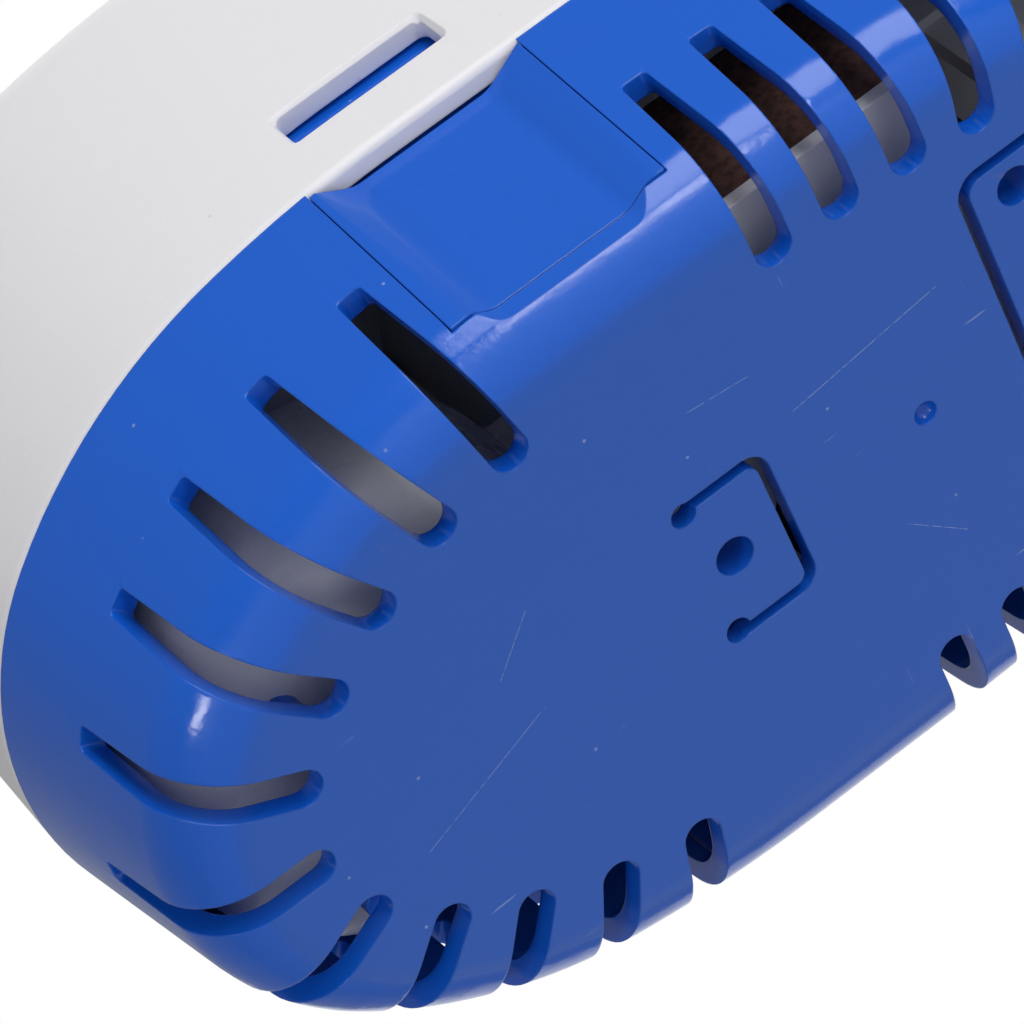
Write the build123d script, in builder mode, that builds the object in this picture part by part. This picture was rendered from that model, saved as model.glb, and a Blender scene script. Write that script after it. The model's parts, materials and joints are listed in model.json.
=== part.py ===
from build123d import *
from math import cos, degrees, radians, sin, sqrt
import os

# Automatic bilge pump: a slotted strainer base screwed to the hull, a clip-on pump
# housing with a vertical motor at the narrow end and a float switch at the wide end.
# Millimetres, +Z up. The origin is the middle mounting hole, on the hull side of the base.
# -X is the pump end and +X the float end. Pieces are written to parts/ one by one.

os.makedirs("parts", exist_ok=True)

# ---------------------------------------------------------------- overall shape
base_length = 171.0
base_width = 97.0
hole_to_nose = 76.0
nose_radius = 40.0
flank_radius = 145.0
flank_straight = 23.0
hip_radius = 200.0

# ---------------------------------------------------------------- strainer base
base_height = 35.5
base_draft = 4.2
base_wall = 3.0
floor_thickness = 3.0
bottom_radius = 10.0
slot_width = 4.9
slot_top = 20.0
slot_taper = 2.2
row_nose = 57.9
row_length = 138.8
row_half_width = 32.65
row_nose_radius = 18.9
row_shoulder_radius = 30.4
row_flank_radius = 234.4
row_straight = 14.0
row_hip_radius = 184.4
pump_slot_count = 6
pump_slot_pitch = 11.0
float_slot_pitch = 9.16
float_slot_start = 18.8
mount_hole_radius = 2.44
wide_hole_x = 47.2
wide_hole_y = 19.0
mount_boss_radius = 5.2
mount_boss_height = 2.0
flexure_slot_width = 1.5
bowl_post_radius = 3.0

# ---------------------------------------------------------------- latches
recess_depth = 3.0
recess_tilt = 0.075
recess_floor_x = (-10.5, 8.0)
recess_mouth_x = (-15.5, 13.5)
tab_thickness = 4.4
tab_bottom = 6.5
tab_gap = 0.15
tab_head_gap = 0.6
tongue_thickness = 2.2
tongue_top = 53.4
tooth_height = 2.8
tooth_reach = 1.7
window_width = 20.5
window_height = 6.0
window_bottom = 44.6
window_rim = 1.0

# ---------------------------------------------------------------- housing
housing_top = 97.5
housing_draft = 2.5
housing_wall = 3.0
shoulder_fillet = 12.0
lip_fillet = 1.2
tower_radius = 29.0
tower_wall = 2.5
tower_top = 100.5

# ---------------------------------------------------------------- pump and motor
pump_axis_to_nose = 37.0
bowl_radius = 30.0
bowl_wall = 2.2
bowl_corner = 9.0
bowl_bottom = 9.0
bowl_top = 30.0
cover_thickness = 3.0
inlet_radius = 10.0
impeller_radius = 21.0
impeller_hub_radius = 6.0
vane_count = 6
vane_thickness = 1.8
shaft_radius = 1.6
shaft_fit = 0.06
seal_radius = 6.0
motor_radius = 20.0
motor_height = 48.0
can_wall = 1.2
magnet_thickness = 4.0
magnet_span = 140.0
air_gap = 0.8
rotor_slots = 5
commutator_radius = 4.5
bush_radius = 4.0
bush_height = 5.0
cap_height = 10.0
cap_ribs = 24

# ---------------------------------------------------------------- outlet
riser_x = 1.5
pipe_radius = 10.0
pipe_wall = 2.6
bend_radius = 12.0
outlet_height = 67.0
valve_start = 22.0
valve_radius = 13.0
valve_wall = 2.5
valve_length = 20.0
barb_radius = 9.5
barb_bore = 7.2
barb_length = 30.0
barb_count = 4
flap_radius = 8.2
flap_thickness = 1.5
flap_pin_radius = 0.6

# ---------------------------------------------------------------- float and switch
float_start = 15.0
float_end = 46.0
float_half_width = 34.0
float_bottom = 8.0
tray_thickness = 2.0
foam_height = 22.0
pivot_x = 62.0
pivot_z = 22.0
float_pin_radius = 1.5
float_hub_radius = 4.5
arm_spacing = 18.0
arm_width = 5.0
ear_thickness = 3.0
box_length = 24.0
box_width = 32.0
box_floor = 36.0
box_wall = 2.0
box_height = 26.0
lid_thickness = 2.5
hanger_radius = 4.0
plunger_x = 54.5
plunger_radius = 1.5
lever_pivot_x = 65.5
lever_pivot_z = 45.0
knob_axis_z = 44.0
knob_shaft_radius = 2.5
knob_radius = 9.0
finger_length = 21.2
tail_reach = 18.0
switch_length = 16.0
gland_place = (34.0, 18.0)
gland_radius = 6.5
gland_bore = 3.0

# ---------------------------------------------------------------- clearances
running_gap = 0.3
stack_gap = 0.4
pin_fit = 0.05
ring_section = 1.1

# ---------------------------------------------------------------- derived places
half_width = base_width / 2
axis_x = pump_axis_to_nose - hole_to_nose
cover_top = bowl_top + cover_thickness
deck_underside = housing_top - housing_wall
motor_bottom = cover_top + cover_thickness
motor_top = motor_bottom + motor_height
AXIS = (axis_x, 0)


def save(piece, name):
    """Label a finished piece and write it as its own file."""
    solid = piece.part if isinstance(piece, BuildPart) else piece
    solid.label = name
    export_step(solid, f"parts/{name}.step")


def lean(first, last):
    """How far along and across a unit arc goes while its heading falls between two angles."""
    a, b = radians(first), radians(last)
    return sin(a) - sin(b), cos(b) - cos(a)


# An egg outline is a chain of tangent arcs that starts across the pump end's nose. Each row
# is (radius, heading where it ends); the cheek's radius and the two arcs that close the
# float end are worked out, so that every outline meets its stated length and half width.
SEAM = dict(nose=hole_to_nose, length=base_length, half=half_width,
            front=[(nose_radius, 43)], cheek_end=10, flank=flank_radius,
            straight=flank_straight, hip=hip_radius)
SLOT_ROW = dict(nose=row_nose, length=row_length, half=row_half_width,
                front=[(row_nose_radius, 62), (row_shoulder_radius, 40)], cheek_end=5,
                flank=row_flank_radius, straight=row_straight, hip=row_hip_radius)
HIP_END, QUARTER_END = -8, -40


def outline_path(shape, inset):
    """Half an outline, parallel to its shape, as rows (x, y, radius, heading in, heading out)."""
    arcs, heading = [], 90
    for radius, last in shape["front"]:
        arcs.append((radius - inset, heading, last))
        heading = last
    flank, cheek_end = shape["flank"] - inset, shape["cheek_end"]
    half = shape["half"] - inset
    risen = sum(r * lean(a, b)[1] for r, a, b in arcs) + flank * lean(cheek_end, 0)[1]
    arcs.append(((half - risen) / lean(heading, cheek_end)[1], heading, cheek_end))
    arcs.append((flank, cheek_end, 0))
    hip = shape["hip"] - inset
    used = sum(r * lean(a, b)[0] for r, a, b in arcs) + shape["straight"]
    along = shape["length"] - 2 * inset - used - hip * lean(0, HIP_END)[0]
    across = half + hip * lean(0, HIP_END)[1]
    x1, y1 = lean(HIP_END, QUARTER_END)
    x2, y2 = lean(QUARTER_END, -90)
    scale = y1 * x2 - x1 * y2
    quarter = (-along * y2 - across * x2) / scale
    tail = (x1 * across + y1 * along) / scale
    arcs += [(0.0, 0, 0), (hip, 0, HIP_END), (quarter, HIP_END, QUARTER_END), (tail, QUARTER_END, -90)]
    x, y, rows = inset - shape["nose"], 0.0, []
    for radius, first, last in arcs:
        rows.append((x, y, radius, first, last))
        dx, dy = lean(first, last)
        x += radius * dx if radius else shape["straight"]
        y += radius * dy
    return rows


def outline(inset, height):
    """A face inside the seam outline by the inset, at a height."""
    with BuildSketch(Plane.XY.offset(height)) as face:
        with BuildLine():
            for x, y, radius, first, last in outline_path(SEAM, inset):
                if radius:
                    centre = (x + radius * sin(radians(first)), y - radius * cos(radians(first)))
                    CenterArc(centre, radius, first + 90, last - first)
                else:
                    Line((x, y), (x + flank_straight, y))
            mirror(about=Plane.XZ)
        make_face()
    return face.sketch


def row_run(row):
    """Length of one piece of the slot row."""
    return row[2] * radians(row[3] - row[4]) if row[2] else row_straight


def row_place(distance):
    """Point and heading at a distance along the slot row, from the pump end."""
    for row in outline_path(SLOT_ROW, 0):
        if distance <= row_run(row):
            break
        distance -= row_run(row)
    x, y, radius, first, last = row
    if not radius:
        return x + distance, y, 0.0
    heading = first - degrees(distance / radius)
    dx, dy = lean(first, heading)
    return x + radius * dx, y + radius * dy, heading


def wall_y(inset, x):
    """Half width of the seam outline, less the inset, at a place along the pump."""
    for px, py, radius, first, last in outline_path(SEAM, inset):
        if x <= px + (radius * lean(first, last)[0] if radius else flank_straight):
            break
    if not radius:
        return py
    cx, cy = px + radius * sin(radians(first)), py - radius * cos(radians(first))
    return cy + sqrt(radius**2 - (x - cx) ** 2)


def housing_inset(z):
    """How far the housing's inner wall stands inside the seam outline at a height."""
    return housing_wall + housing_draft * (z - base_height) / (housing_top - base_height)


def ring(name, radius, bore, z0, z1, centre):
    """A plain upright ring."""
    with BuildPart() as body:
        with BuildSketch(Plane.XY.offset(z0)):
            with Locations(centre):
                Circle(radius)
                Circle(bore, mode=Mode.SUBTRACT)
        extrude(amount=z1 - z0)
    save(body, name)


def rod(start, direction, length, radius, bore=0.0):
    """A cylinder or tube from a start point along a direction, for use inside other pieces."""
    with BuildPart() as body:
        with BuildSketch(Plane(origin=start, z_dir=direction)):
            Circle(radius)
            if bore:
                Circle(bore, mode=Mode.SUBTRACT)
        extrude(amount=length)
    return body.part


def box(x, y, z):
    """A block between pairs of limits along each axis, for use inside other pieces."""
    with BuildPart() as body:
        with BuildSketch(Plane.XY.offset(z[0])):
            with Locations(((x[0] + x[1]) / 2, (y[0] + y[1]) / 2)):
                Rectangle(x[1] - x[0], y[1] - y[0])
        extrude(amount=z[1] - z[0])
    return body.part


# ================================================================ shared cutters
recess_foot = 2.0
recess_lean = (0, -recess_tilt, 1)
recess_floor_y = half_width - recess_depth
foot_floor_y = recess_floor_y - recess_tilt * (base_height - recess_foot)
tab_inner_y = recess_floor_y - tab_thickness
mouth_middle = sum(recess_mouth_x) / 2
mouth_width = recess_mouth_x[1] - recess_mouth_x[0]
ramp_left = recess_floor_x[0] - recess_mouth_x[0]
ramp_right = recess_mouth_x[1] - recess_floor_x[1]

with BuildPart() as recess:
    with BuildSketch(Plane.XY.offset(recess_foot)):
        with BuildLine():
            Polyline(
                (recess_mouth_x[0] - ramp_left, -foot_floor_y - 2 * recess_depth),
                (recess_floor_x[0], -foot_floor_y),
                (recess_floor_x[1], -foot_floor_y),
                (recess_mouth_x[1] + ramp_right, -foot_floor_y - 2 * recess_depth),
                close=True,
            )
        make_face()
    extrude(amount=base_height, dir=recess_lean)
    inner_corners = recess.edges().filter_by(GeomType.LINE).group_by(Axis.Z)[1].sort_by(Axis.Y)[-2:]
    fillet(inner_corners, radius=4.0)
    foot_edges = recess.faces().sort_by(Axis.Z)[0].edges().sort_by(Axis.Y)[-5:]
    fillet(foot_edges.filter_by(GeomType.LINE).sort_by(Axis.Y)[-1:], radius=2.0)

with BuildPart() as cavity:
    slope = base_draft / base_height
    loft([outline(base_wall + base_draft - slope * floor_thickness, floor_thickness),
          outline(base_wall - slope, base_height + 1)], ruled=True)
    fillet(cavity.faces().sort_by(Axis.Z)[0].edges(), radius=bottom_radius - floor_thickness)

with BuildPart() as slot_cutter:
    with BuildSketch(Plane.XY.offset(-1)):
        with Locations((0, 15)):
            SlotOverall(30 + slot_width, slot_width, rotation=90)
    extrude(amount=slot_top + 1, taper=slot_taper)
    fillet(slot_cutter.faces().sort_by(Axis.Z)[-1].edges(), radius=0.7)


def slot_places():
    """Every strainer slot as (x, y, direction): evenly spaced, fanned round both ends."""
    places = []
    for index in range(pump_slot_count):
        x, y, heading = row_place(index * pump_slot_pitch)
        places.append((x, y, heading + (4 if index else 0) + 90))
    rows = outline_path(SLOT_ROW, 0)
    straight = next(index for index, row in enumerate(rows) if not row[2])
    start = sum(row_run(row) for row in rows[:straight]) + float_slot_start - rows[straight][0]
    reach = sum(row_run(row) for row in rows) - start
    count = round(reach / float_slot_pitch + 0.5)
    for index in range(count):
        x, y, heading = row_place(start + index * reach / (count - 0.5))
        places.append((x, y, 90 if heading > HIP_END else heading + 90))
    mirrored = [(x, -y, -direction) for x, y, direction in places if y > slot_width / 2]
    return places + mirrored


# ================================================================ strainer base
flexure_reach = 9.9
wide_flexure_reach = 23.7
with BuildPart() as strainer_base:
    loft([outline(base_draft, 0), outline(0, base_height)], ruled=True)
    fillet(strainer_base.faces().sort_by(Axis.Z)[0].edges(), radius=bottom_radius)
    add(cavity.part, mode=Mode.SUBTRACT)
    for side in (1, -1):
        cut_depth = half_width + 2 - tab_inner_y + tab_gap
        with BuildSketch(Plane.XY.offset(tab_bottom - tab_gap)):
            with Locations((mouth_middle, side * (half_width + 2 - cut_depth / 2))):
                Rectangle(mouth_width + 2 * tab_gap, cut_depth)
        extrude(amount=base_height, mode=Mode.SUBTRACT)
    add(recess.part, mode=Mode.SUBTRACT)
    add(recess.part.mirror(Plane.XZ), mode=Mode.SUBTRACT)
    for x, y, direction in slot_places():
        with Locations(Location((x, y, 0), (0, 0, direction - 90))):
            add(slot_cutter.part, mode=Mode.SUBTRACT)
    holes = [(0, 0), (wide_hole_x, wide_hole_y), (wide_hole_x, -wide_hole_y)]
    with BuildSketch(Plane.XY.offset(floor_thickness)):
        with Locations(*holes):
            Circle(mount_boss_radius)
    extrude(amount=mount_boss_height)
    with BuildSketch(Plane.XY):
        with Locations(*holes):
            Circle(mount_hole_radius)
        with BuildLine():
            FilletPolyline((-3.3, flexure_reach), (7.25, flexure_reach),
                           (7.25, -flexure_reach), (-3.3, -flexure_reach), radius=2.2)
        trace(line_width=flexure_slot_width)
        with Locations((-3.3, flexure_reach - 0.6), (-3.3, 0.6 - flexure_reach)):
            Circle(1.6)
        with BuildLine():
            FilletPolyline((56, wide_flexure_reach), (40.9, wide_flexure_reach),
                           (40.9, -wide_flexure_reach), (56, -wide_flexure_reach), radius=2.6)
        trace(line_width=flexure_slot_width)
        with Locations((56, wide_flexure_reach - 0.6), (56, 0.6 - wide_flexure_reach)):
            Circle(1.6)
    extrude(amount=floor_thickness + mount_boss_height, mode=Mode.SUBTRACT)
    with Locations((27, 0, 0)):
        Sphere(1.5, mode=Mode.SUBTRACT)
    with BuildSketch(Plane.XY.offset(floor_thickness)):
        with Locations(AXIS):
            with PolarLocations(bowl_radius - bowl_corner - bowl_post_radius, 4, start_angle=45):
                Circle(bowl_post_radius)
    extrude(amount=bowl_bottom - floor_thickness)
save(strainer_base, "strainer_base")

# ================================================================ latch tabs
tongue_middle = sum(recess_floor_x) / 2
tongue_half = window_width / 2 + 1
corner_walls = [wall_y(housing_inset(tongue_top), tongue_middle + end * tongue_half) for end in (-1, 1)]
tongue_face_y = min(corner_walls) - running_gap
tab_top = base_height - tab_head_gap
tongue_root = tab_top - 6.0
tooth_foot = window_bottom + 0.5
for side, name in ((-1, "latch_tab_neg_y"), (1, "latch_tab_pos_y")):
    with BuildPart() as tab:
        with BuildSketch(Plane.XY.offset(tab_bottom)):
            with Locations((mouth_middle, -half_width)):
                Rectangle(mouth_width, 2 * (half_width - tab_inner_y))
        extrude(amount=tab_top - tab_bottom)
        loft([outline(base_draft, 0), outline(0, base_height)], ruled=True, mode=Mode.INTERSECT)
        add(recess.part, mode=Mode.SUBTRACT)
        with BuildSketch(Plane.XY.offset(tongue_root)):
            with Locations((tongue_middle, -tongue_face_y + tongue_thickness / 2)):
                Rectangle(2 * tongue_half, tongue_thickness)
        extrude(amount=tongue_top - tongue_root)
        tooth_plane = Plane(origin=(tongue_middle - tongue_half + 2, 0, 0), z_dir=(1, 0, 0),
                            x_dir=(0, 1, 0))
        with BuildSketch(tooth_plane):
            with BuildLine():
                Polyline((-tongue_face_y, tooth_foot), (-tongue_face_y - tooth_reach, tooth_foot),
                         (-tongue_face_y - tooth_reach, tooth_foot + 1.2),
                         (-tongue_face_y, tooth_foot + tooth_height), close=True)
            make_face()
        extrude(amount=2 * tongue_half - 4)
    if side > 0:
        tab = tab.part.mirror(Plane.XZ)
    save(tab, name)

# ================================================================ pump housing
with BuildPart() as housing_core:
    loft([outline(housing_wall, base_height),
          outline(housing_inset(deck_underside), deck_underside)], ruled=True)
    fillet(housing_core.faces().sort_by(Axis.Z)[-1].edges(), radius=shoulder_fillet - housing_wall)

pad_radius = valve_radius + 3
pad_face = half_width + 0.4
box_x = (plunger_x - 3.5, plunger_x - 3.5 + box_length)
box_y = (-box_width / 2, box_width / 2)
box_lid_z = box_floor + box_height
wide_end = base_length - hole_to_nose
with BuildPart() as pump_housing:
    loft([outline(0, base_height), outline(housing_draft, housing_top)], ruled=True)
    fillet(pump_housing.faces().sort_by(Axis.Z)[-1].edges(), radius=shoulder_fillet)
    fillet(pump_housing.faces().sort_by(Axis.Z)[0].edges(), radius=lip_fillet)
    add(housing_core.part, mode=Mode.SUBTRACT)
    with BuildSketch(Plane.XY.offset(cover_top)):
        with Locations(AXIS):
            Circle(tower_radius)
    extrude(amount=tower_top - cover_top)
    add(rod((riser_x, half_width - housing_wall, outlet_height), (0, 1, 0),
            pad_face - half_width + housing_wall, pad_radius))
    with BuildSketch(Plane.XY.offset(cover_top)):
        with Locations(AXIS):
            Circle(tower_radius - tower_wall)
    extrude(amount=tower_top - cover_top, mode=Mode.SUBTRACT)
    add(rod((riser_x, half_width - 12, outlet_height), (0, 1, 0), 17, valve_radius + 0.1),
        mode=Mode.SUBTRACT)
    with BuildSketch(Plane.XZ.offset(-half_width - 5)):
        with Locations((tongue_middle, window_bottom + window_height / 2)):
            RectangleRounded(window_width, window_height, 1.2)
    extrude(amount=base_width + 10, mode=Mode.SUBTRACT)
    for side in (1, -1):
        rim_plane = Plane(origin=(tongue_middle, side * half_width, window_bottom + window_height / 2),
                          x_dir=(side, 0, 0), z_dir=(0, -side, 0))
        with BuildSketch(rim_plane):
            RectangleRounded(window_width + 2 * window_rim, window_height + 2 * window_rim, 1.5)
        extrude(amount=1.5 * window_rim, taper=40, mode=Mode.SUBTRACT)
    add(rod((wide_end - 12, 0, knob_axis_z), (1, 0, 0), 11, knob_shaft_radius + 3))
    add(rod((wide_end - 14, 0, knob_axis_z), (1, 0, 0), 20, knob_shaft_radius + shaft_fit),
        mode=Mode.SUBTRACT)
    with BuildSketch(Plane.XY.offset(box_lid_z + lid_thickness)):
        with Locations((box_x[0] + 6, 0), (box_x[1] - 6, 0)):
            Circle(hanger_radius)
    extrude(amount=deck_underside - box_lid_z - lid_thickness)
    with BuildSketch(Plane.XY.offset(deck_underside)):
        with Locations(gland_place):
            Circle(gland_radius - 2.0)
    extrude(amount=housing_wall, mode=Mode.SUBTRACT)
save(pump_housing, "pump_housing")

# ================================================================ volute bowl and cover
pocket_radius = pipe_radius - pipe_wall
with BuildPart() as bowl_space:
    with BuildSketch(Plane.XY.offset(bowl_bottom + bowl_wall)):
        with Locations(AXIS):
            Circle(bowl_radius - bowl_wall)
    extrude(amount=bowl_top - bowl_bottom)
    fillet(bowl_space.faces().sort_by(Axis.Z)[0].edges(), radius=bowl_corner - bowl_wall)

with BuildPart() as volute_bowl:
    with BuildSketch(Plane.XY.offset(bowl_bottom)):
        with Locations(AXIS):
            Circle(bowl_radius)
    extrude(amount=bowl_top - bowl_bottom)
    fillet(volute_bowl.faces().sort_by(Axis.Z)[0].edges(), radius=bowl_corner)
    with BuildSketch(Plane.XY.offset(bowl_bottom)):
        with Locations((riser_x, 0)):
            Circle(pipe_radius)
        with Locations((riser_x - pipe_radius, 0)):
            Rectangle(2 * pipe_radius, 2 * pipe_radius - 3)
    extrude(amount=bowl_top - bowl_bottom)
    add(bowl_space.part, mode=Mode.SUBTRACT)
    with BuildSketch(Plane.XY.offset(bowl_bottom + bowl_wall)):
        with Locations((riser_x, 0)):
            Circle(pocket_radius)
        with Locations((riser_x - pipe_radius, 0)):
            Rectangle(2 * pipe_radius, 2 * pocket_radius - 4)
    extrude(amount=bowl_top - bowl_bottom, mode=Mode.SUBTRACT)
    with BuildSketch(Plane.XY.offset(bowl_bottom)):
        with Locations(AXIS):
            Circle(inlet_radius)
    extrude(amount=bowl_wall, mode=Mode.SUBTRACT)
save(volute_bowl, "volute_bowl")

ring_groove = bowl_radius - bowl_wall / 2
with BuildPart() as volute_cover:
    with BuildSketch(Plane.XY.offset(bowl_top)):
        with Locations(AXIS):
            Circle(bowl_radius)
        with Locations((riser_x, 0)):
            Circle(pipe_radius)
        with Locations((riser_x - pipe_radius, 0)):
            Rectangle(2 * pipe_radius, 2 * pipe_radius - 3)
    extrude(amount=cover_thickness)
    with BuildSketch(Plane.XY.offset(bowl_top)):
        with Locations(AXIS):
            Circle(seal_radius)
        with Locations((riser_x, 0)):
            Circle(pocket_radius)
    extrude(amount=cover_thickness, mode=Mode.SUBTRACT)
save(volute_cover, "volute_cover")

ring("shaft_seal", seal_radius, shaft_radius + shaft_fit, bowl_top, cover_top, AXIS)
isolator_bore = motor_radius - 6.0
ring("motor_isolator", motor_radius, isolator_bore, cover_top, motor_bottom, AXIS)

# ================================================================ rotor: impeller, shaft, armature
vane_bottom = bowl_bottom + bowl_wall + 1.0
vane_top = bowl_top - 5.5
shroud_thickness = 2.0
vane_reach = impeller_radius - 1.5
with BuildPart() as impeller:
    with BuildSketch(Plane.XY.offset(vane_top)):
        with Locations(AXIS):
            Circle(impeller_radius)
    extrude(amount=shroud_thickness)
    with BuildSketch(Plane.XY.offset(vane_bottom)):
        with Locations(AXIS):
            Circle(impeller_hub_radius)
    extrude(amount=bowl_top - 1.0 - vane_bottom)
    for index in range(vane_count):
        turn = radians(360 / vane_count * index)
        vane_plane = Plane(origin=(axis_x, 0, vane_bottom), x_dir=(cos(turn), sin(turn), 0))
        with BuildSketch(vane_plane):
            with BuildLine():
                ThreePointArc((impeller_hub_radius - 1.5, 0), (vane_reach * 0.62, -vane_reach * 0.16),
                              (vane_reach * 0.86, -vane_reach * 0.5))
            trace(line_width=vane_thickness)
        extrude(amount=vane_top - vane_bottom)
    with BuildSketch(Plane.XY.offset(vane_bottom)):
        with Locations(AXIS):
            Circle(shaft_radius)
    extrude(amount=bowl_top - vane_bottom, mode=Mode.SUBTRACT)
save(impeller, "impeller")

shaft_bottom = vane_bottom + 1.0
bush_top = motor_top + 2.0
with BuildPart() as motor_shaft:
    add(rod((axis_x, 0, shaft_bottom), (0, 0, 1), bush_top - shaft_bottom - 0.5, shaft_radius))
save(motor_shaft, "motor_shaft")

rotor_radius = motor_radius - can_wall - magnet_thickness - air_gap
rotor_bottom, rotor_top = motor_bottom + 10.0, motor_top - 16.0
tooth_radius = rotor_radius - 3.0
with BuildPart() as rotor_core:
    with BuildSketch(Plane.XY.offset(rotor_bottom)):
        with Locations(AXIS):
            Circle(rotor_radius)
            Circle(tooth_radius, mode=Mode.SUBTRACT)
            with PolarLocations(rotor_radius, rotor_slots):
                Rectangle(8.0, 2.5, mode=Mode.SUBTRACT)
        with Locations(AXIS):
            Circle(5.0)
            with PolarLocations(tooth_radius / 2 + 1, rotor_slots, start_angle=180 / rotor_slots):
                Rectangle(tooth_radius, 3.2)
            Circle(shaft_radius, mode=Mode.SUBTRACT)
    extrude(amount=rotor_top - rotor_bottom)
save(rotor_core, "rotor_core")

coil_reach = 4.0
with BuildPart() as rotor_windings:
    for z in (rotor_bottom - coil_reach, rotor_top):
        with BuildSketch(Plane.XY.offset(z)):
            with Locations(AXIS):
                Circle(tooth_radius)
                Circle(shaft_radius + 1.0, mode=Mode.SUBTRACT)
        extrude(amount=coil_reach)
    with BuildSketch(Plane.XY.offset(rotor_bottom)):
        with Locations(AXIS):
            with PolarLocations(tooth_radius - 3.2, rotor_slots):
                Circle(2.2)
    extrude(amount=rotor_top - rotor_bottom)
save(rotor_windings, "rotor_windings")

segment_count = 5
commutator_bottom = rotor_top + coil_reach + 1.0
commutator_top = motor_top - 2.5
with BuildPart() as commutator:
    with BuildSketch(Plane.XY.offset(commutator_bottom)):
        with Locations(AXIS):
            Circle(commutator_radius)
            with PolarLocations(commutator_radius, segment_count):
                Rectangle(1.4, 0.5, mode=Mode.SUBTRACT)
            Circle(shaft_radius, mode=Mode.SUBTRACT)
    extrude(amount=commutator_top - commutator_bottom)
save(commutator, "commutator")

# ================================================================ motor body
with BuildPart() as motor_can:
    with BuildSketch(Plane.XY.offset(motor_bottom)):
        with Locations(AXIS):
            Circle(motor_radius)
    extrude(amount=motor_height)
    fillet(motor_can.faces().sort_by(Axis.Z)[0].edges(), radius=1.0)
    with BuildSketch(Plane.XY.offset(motor_bottom + can_wall)):
        with Locations(AXIS):
            Circle(motor_radius - can_wall)
    extrude(amount=motor_height, mode=Mode.SUBTRACT)
    with BuildSketch(Plane.XY.offset(motor_bottom)):
        with Locations(AXIS):
            Circle(bush_radius)
    extrude(amount=can_wall, mode=Mode.SUBTRACT)
save(motor_can, "motor_can")

ring("bush_lower", bush_radius, shaft_radius + shaft_fit, motor_bottom, motor_bottom + bush_height, AXIS)
ring("bush_upper", bush_radius, shaft_radius + shaft_fit, motor_top - 2.0, bush_top, AXIS)

magnet_outer = motor_radius - can_wall
magnet_inner = magnet_outer - magnet_thickness
for index in range(2):
    start = 180 * index - magnet_span / 2
    with BuildPart() as magnet:
        with BuildSketch(Plane(origin=(axis_x, 0, rotor_bottom - 1.0))):
            with BuildLine():
                outer = CenterArc((0, 0), magnet_outer, start, magnet_span)
                inner = CenterArc((0, 0), magnet_inner, start, magnet_span)
                Line(outer @ 0, inner @ 0)
                Line(outer @ 1, inner @ 1)
            make_face()
        extrude(amount=rotor_top - rotor_bottom + 2.0)
    save(magnet, f"magnet_{index}")

brush_size = 4.0
brush_middle = (commutator_bottom + commutator_top) / 2
with BuildPart() as end_bell:
    with BuildSketch(Plane.XY.offset(motor_top)):
        with Locations(AXIS):
            Circle(motor_radius)
            Circle(bush_radius, mode=Mode.SUBTRACT)
    extrude(amount=2.0)
    with BuildSketch(Plane.XY.offset(brush_middle - 3.0)):
        with Locations(AXIS):
            with PolarLocations(commutator_radius + 5.5, 2):
                Rectangle(8.0, brush_size + 3.0)
                Rectangle(9.0, brush_size, mode=Mode.SUBTRACT)
    extrude(amount=motor_top - brush_middle + 3.0)
save(end_bell, "end_bell")

for index in range(2):
    with BuildPart() as brush:
        with BuildSketch(Plane.XY.offset(brush_middle - brush_size / 2)):
            with Locations(AXIS):
                with PolarLocations(commutator_radius + 0.1 + 3.5, 1, start_angle=180 * index):
                    Rectangle(7.0, brush_size)
        extrude(amount=brush_size)
    save(brush, f"brush_{index}")

# ================================================================ motor cap
ring("cap_ring", tower_radius, tower_radius - tower_wall - 1.5, tower_top, tower_top + ring_section, AXIS)
cap_bottom = tower_top + ring_section
with BuildPart() as motor_cap:
    with BuildSketch(Plane.XY.offset(cap_bottom)):
        with Locations(AXIS):
            Circle(tower_radius)
    extrude(amount=cap_height)
    fillet(motor_cap.faces().sort_by(Axis.Z)[-1].edges(), radius=cap_height * 0.6)
    with BuildSketch(Plane.XY.offset(cap_bottom)):
        with Locations(AXIS):
            with PolarLocations(tower_radius, cap_ribs):
                Circle(0.9)
    extrude(amount=cap_height * 0.35)
    with BuildSketch(Plane.XY.offset(cap_bottom)):
        with Locations(AXIS):
            Circle(tower_radius - tower_wall - 2.5)
    extrude(amount=cap_height - tower_wall, mode=Mode.SUBTRACT)
save(motor_cap, "motor_cap")

# ================================================================ outlet
elbow_base = cover_top + ring_section
straight_top = outlet_height - bend_radius
ring("elbow_ring", pipe_radius, pocket_radius, cover_top, elbow_base, (riser_x, 0))
with BuildPart() as outlet_elbow:
    with BuildLine() as pipe_path:
        Line((riser_x, 0, elbow_base), (riser_x, 0, straight_top))
        turn_middle = bend_radius * (1 - sin(radians(45)))
        ThreePointArc((riser_x, 0, straight_top),
                      (riser_x, turn_middle, outlet_height - turn_middle),
                      (riser_x, bend_radius, outlet_height))
        Line((riser_x, bend_radius, outlet_height), (riser_x, valve_start, outlet_height))
    with BuildSketch(Plane.XY.offset(elbow_base)):
        with Locations((riser_x, 0)):
            Circle(pipe_radius)
            Circle(pocket_radius, mode=Mode.SUBTRACT)
    sweep()
    add(rod((riser_x, valve_start - 3, outlet_height), (0, 1, 0), 3, valve_radius, pocket_radius))
save(outlet_elbow, "outlet_elbow")

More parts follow.
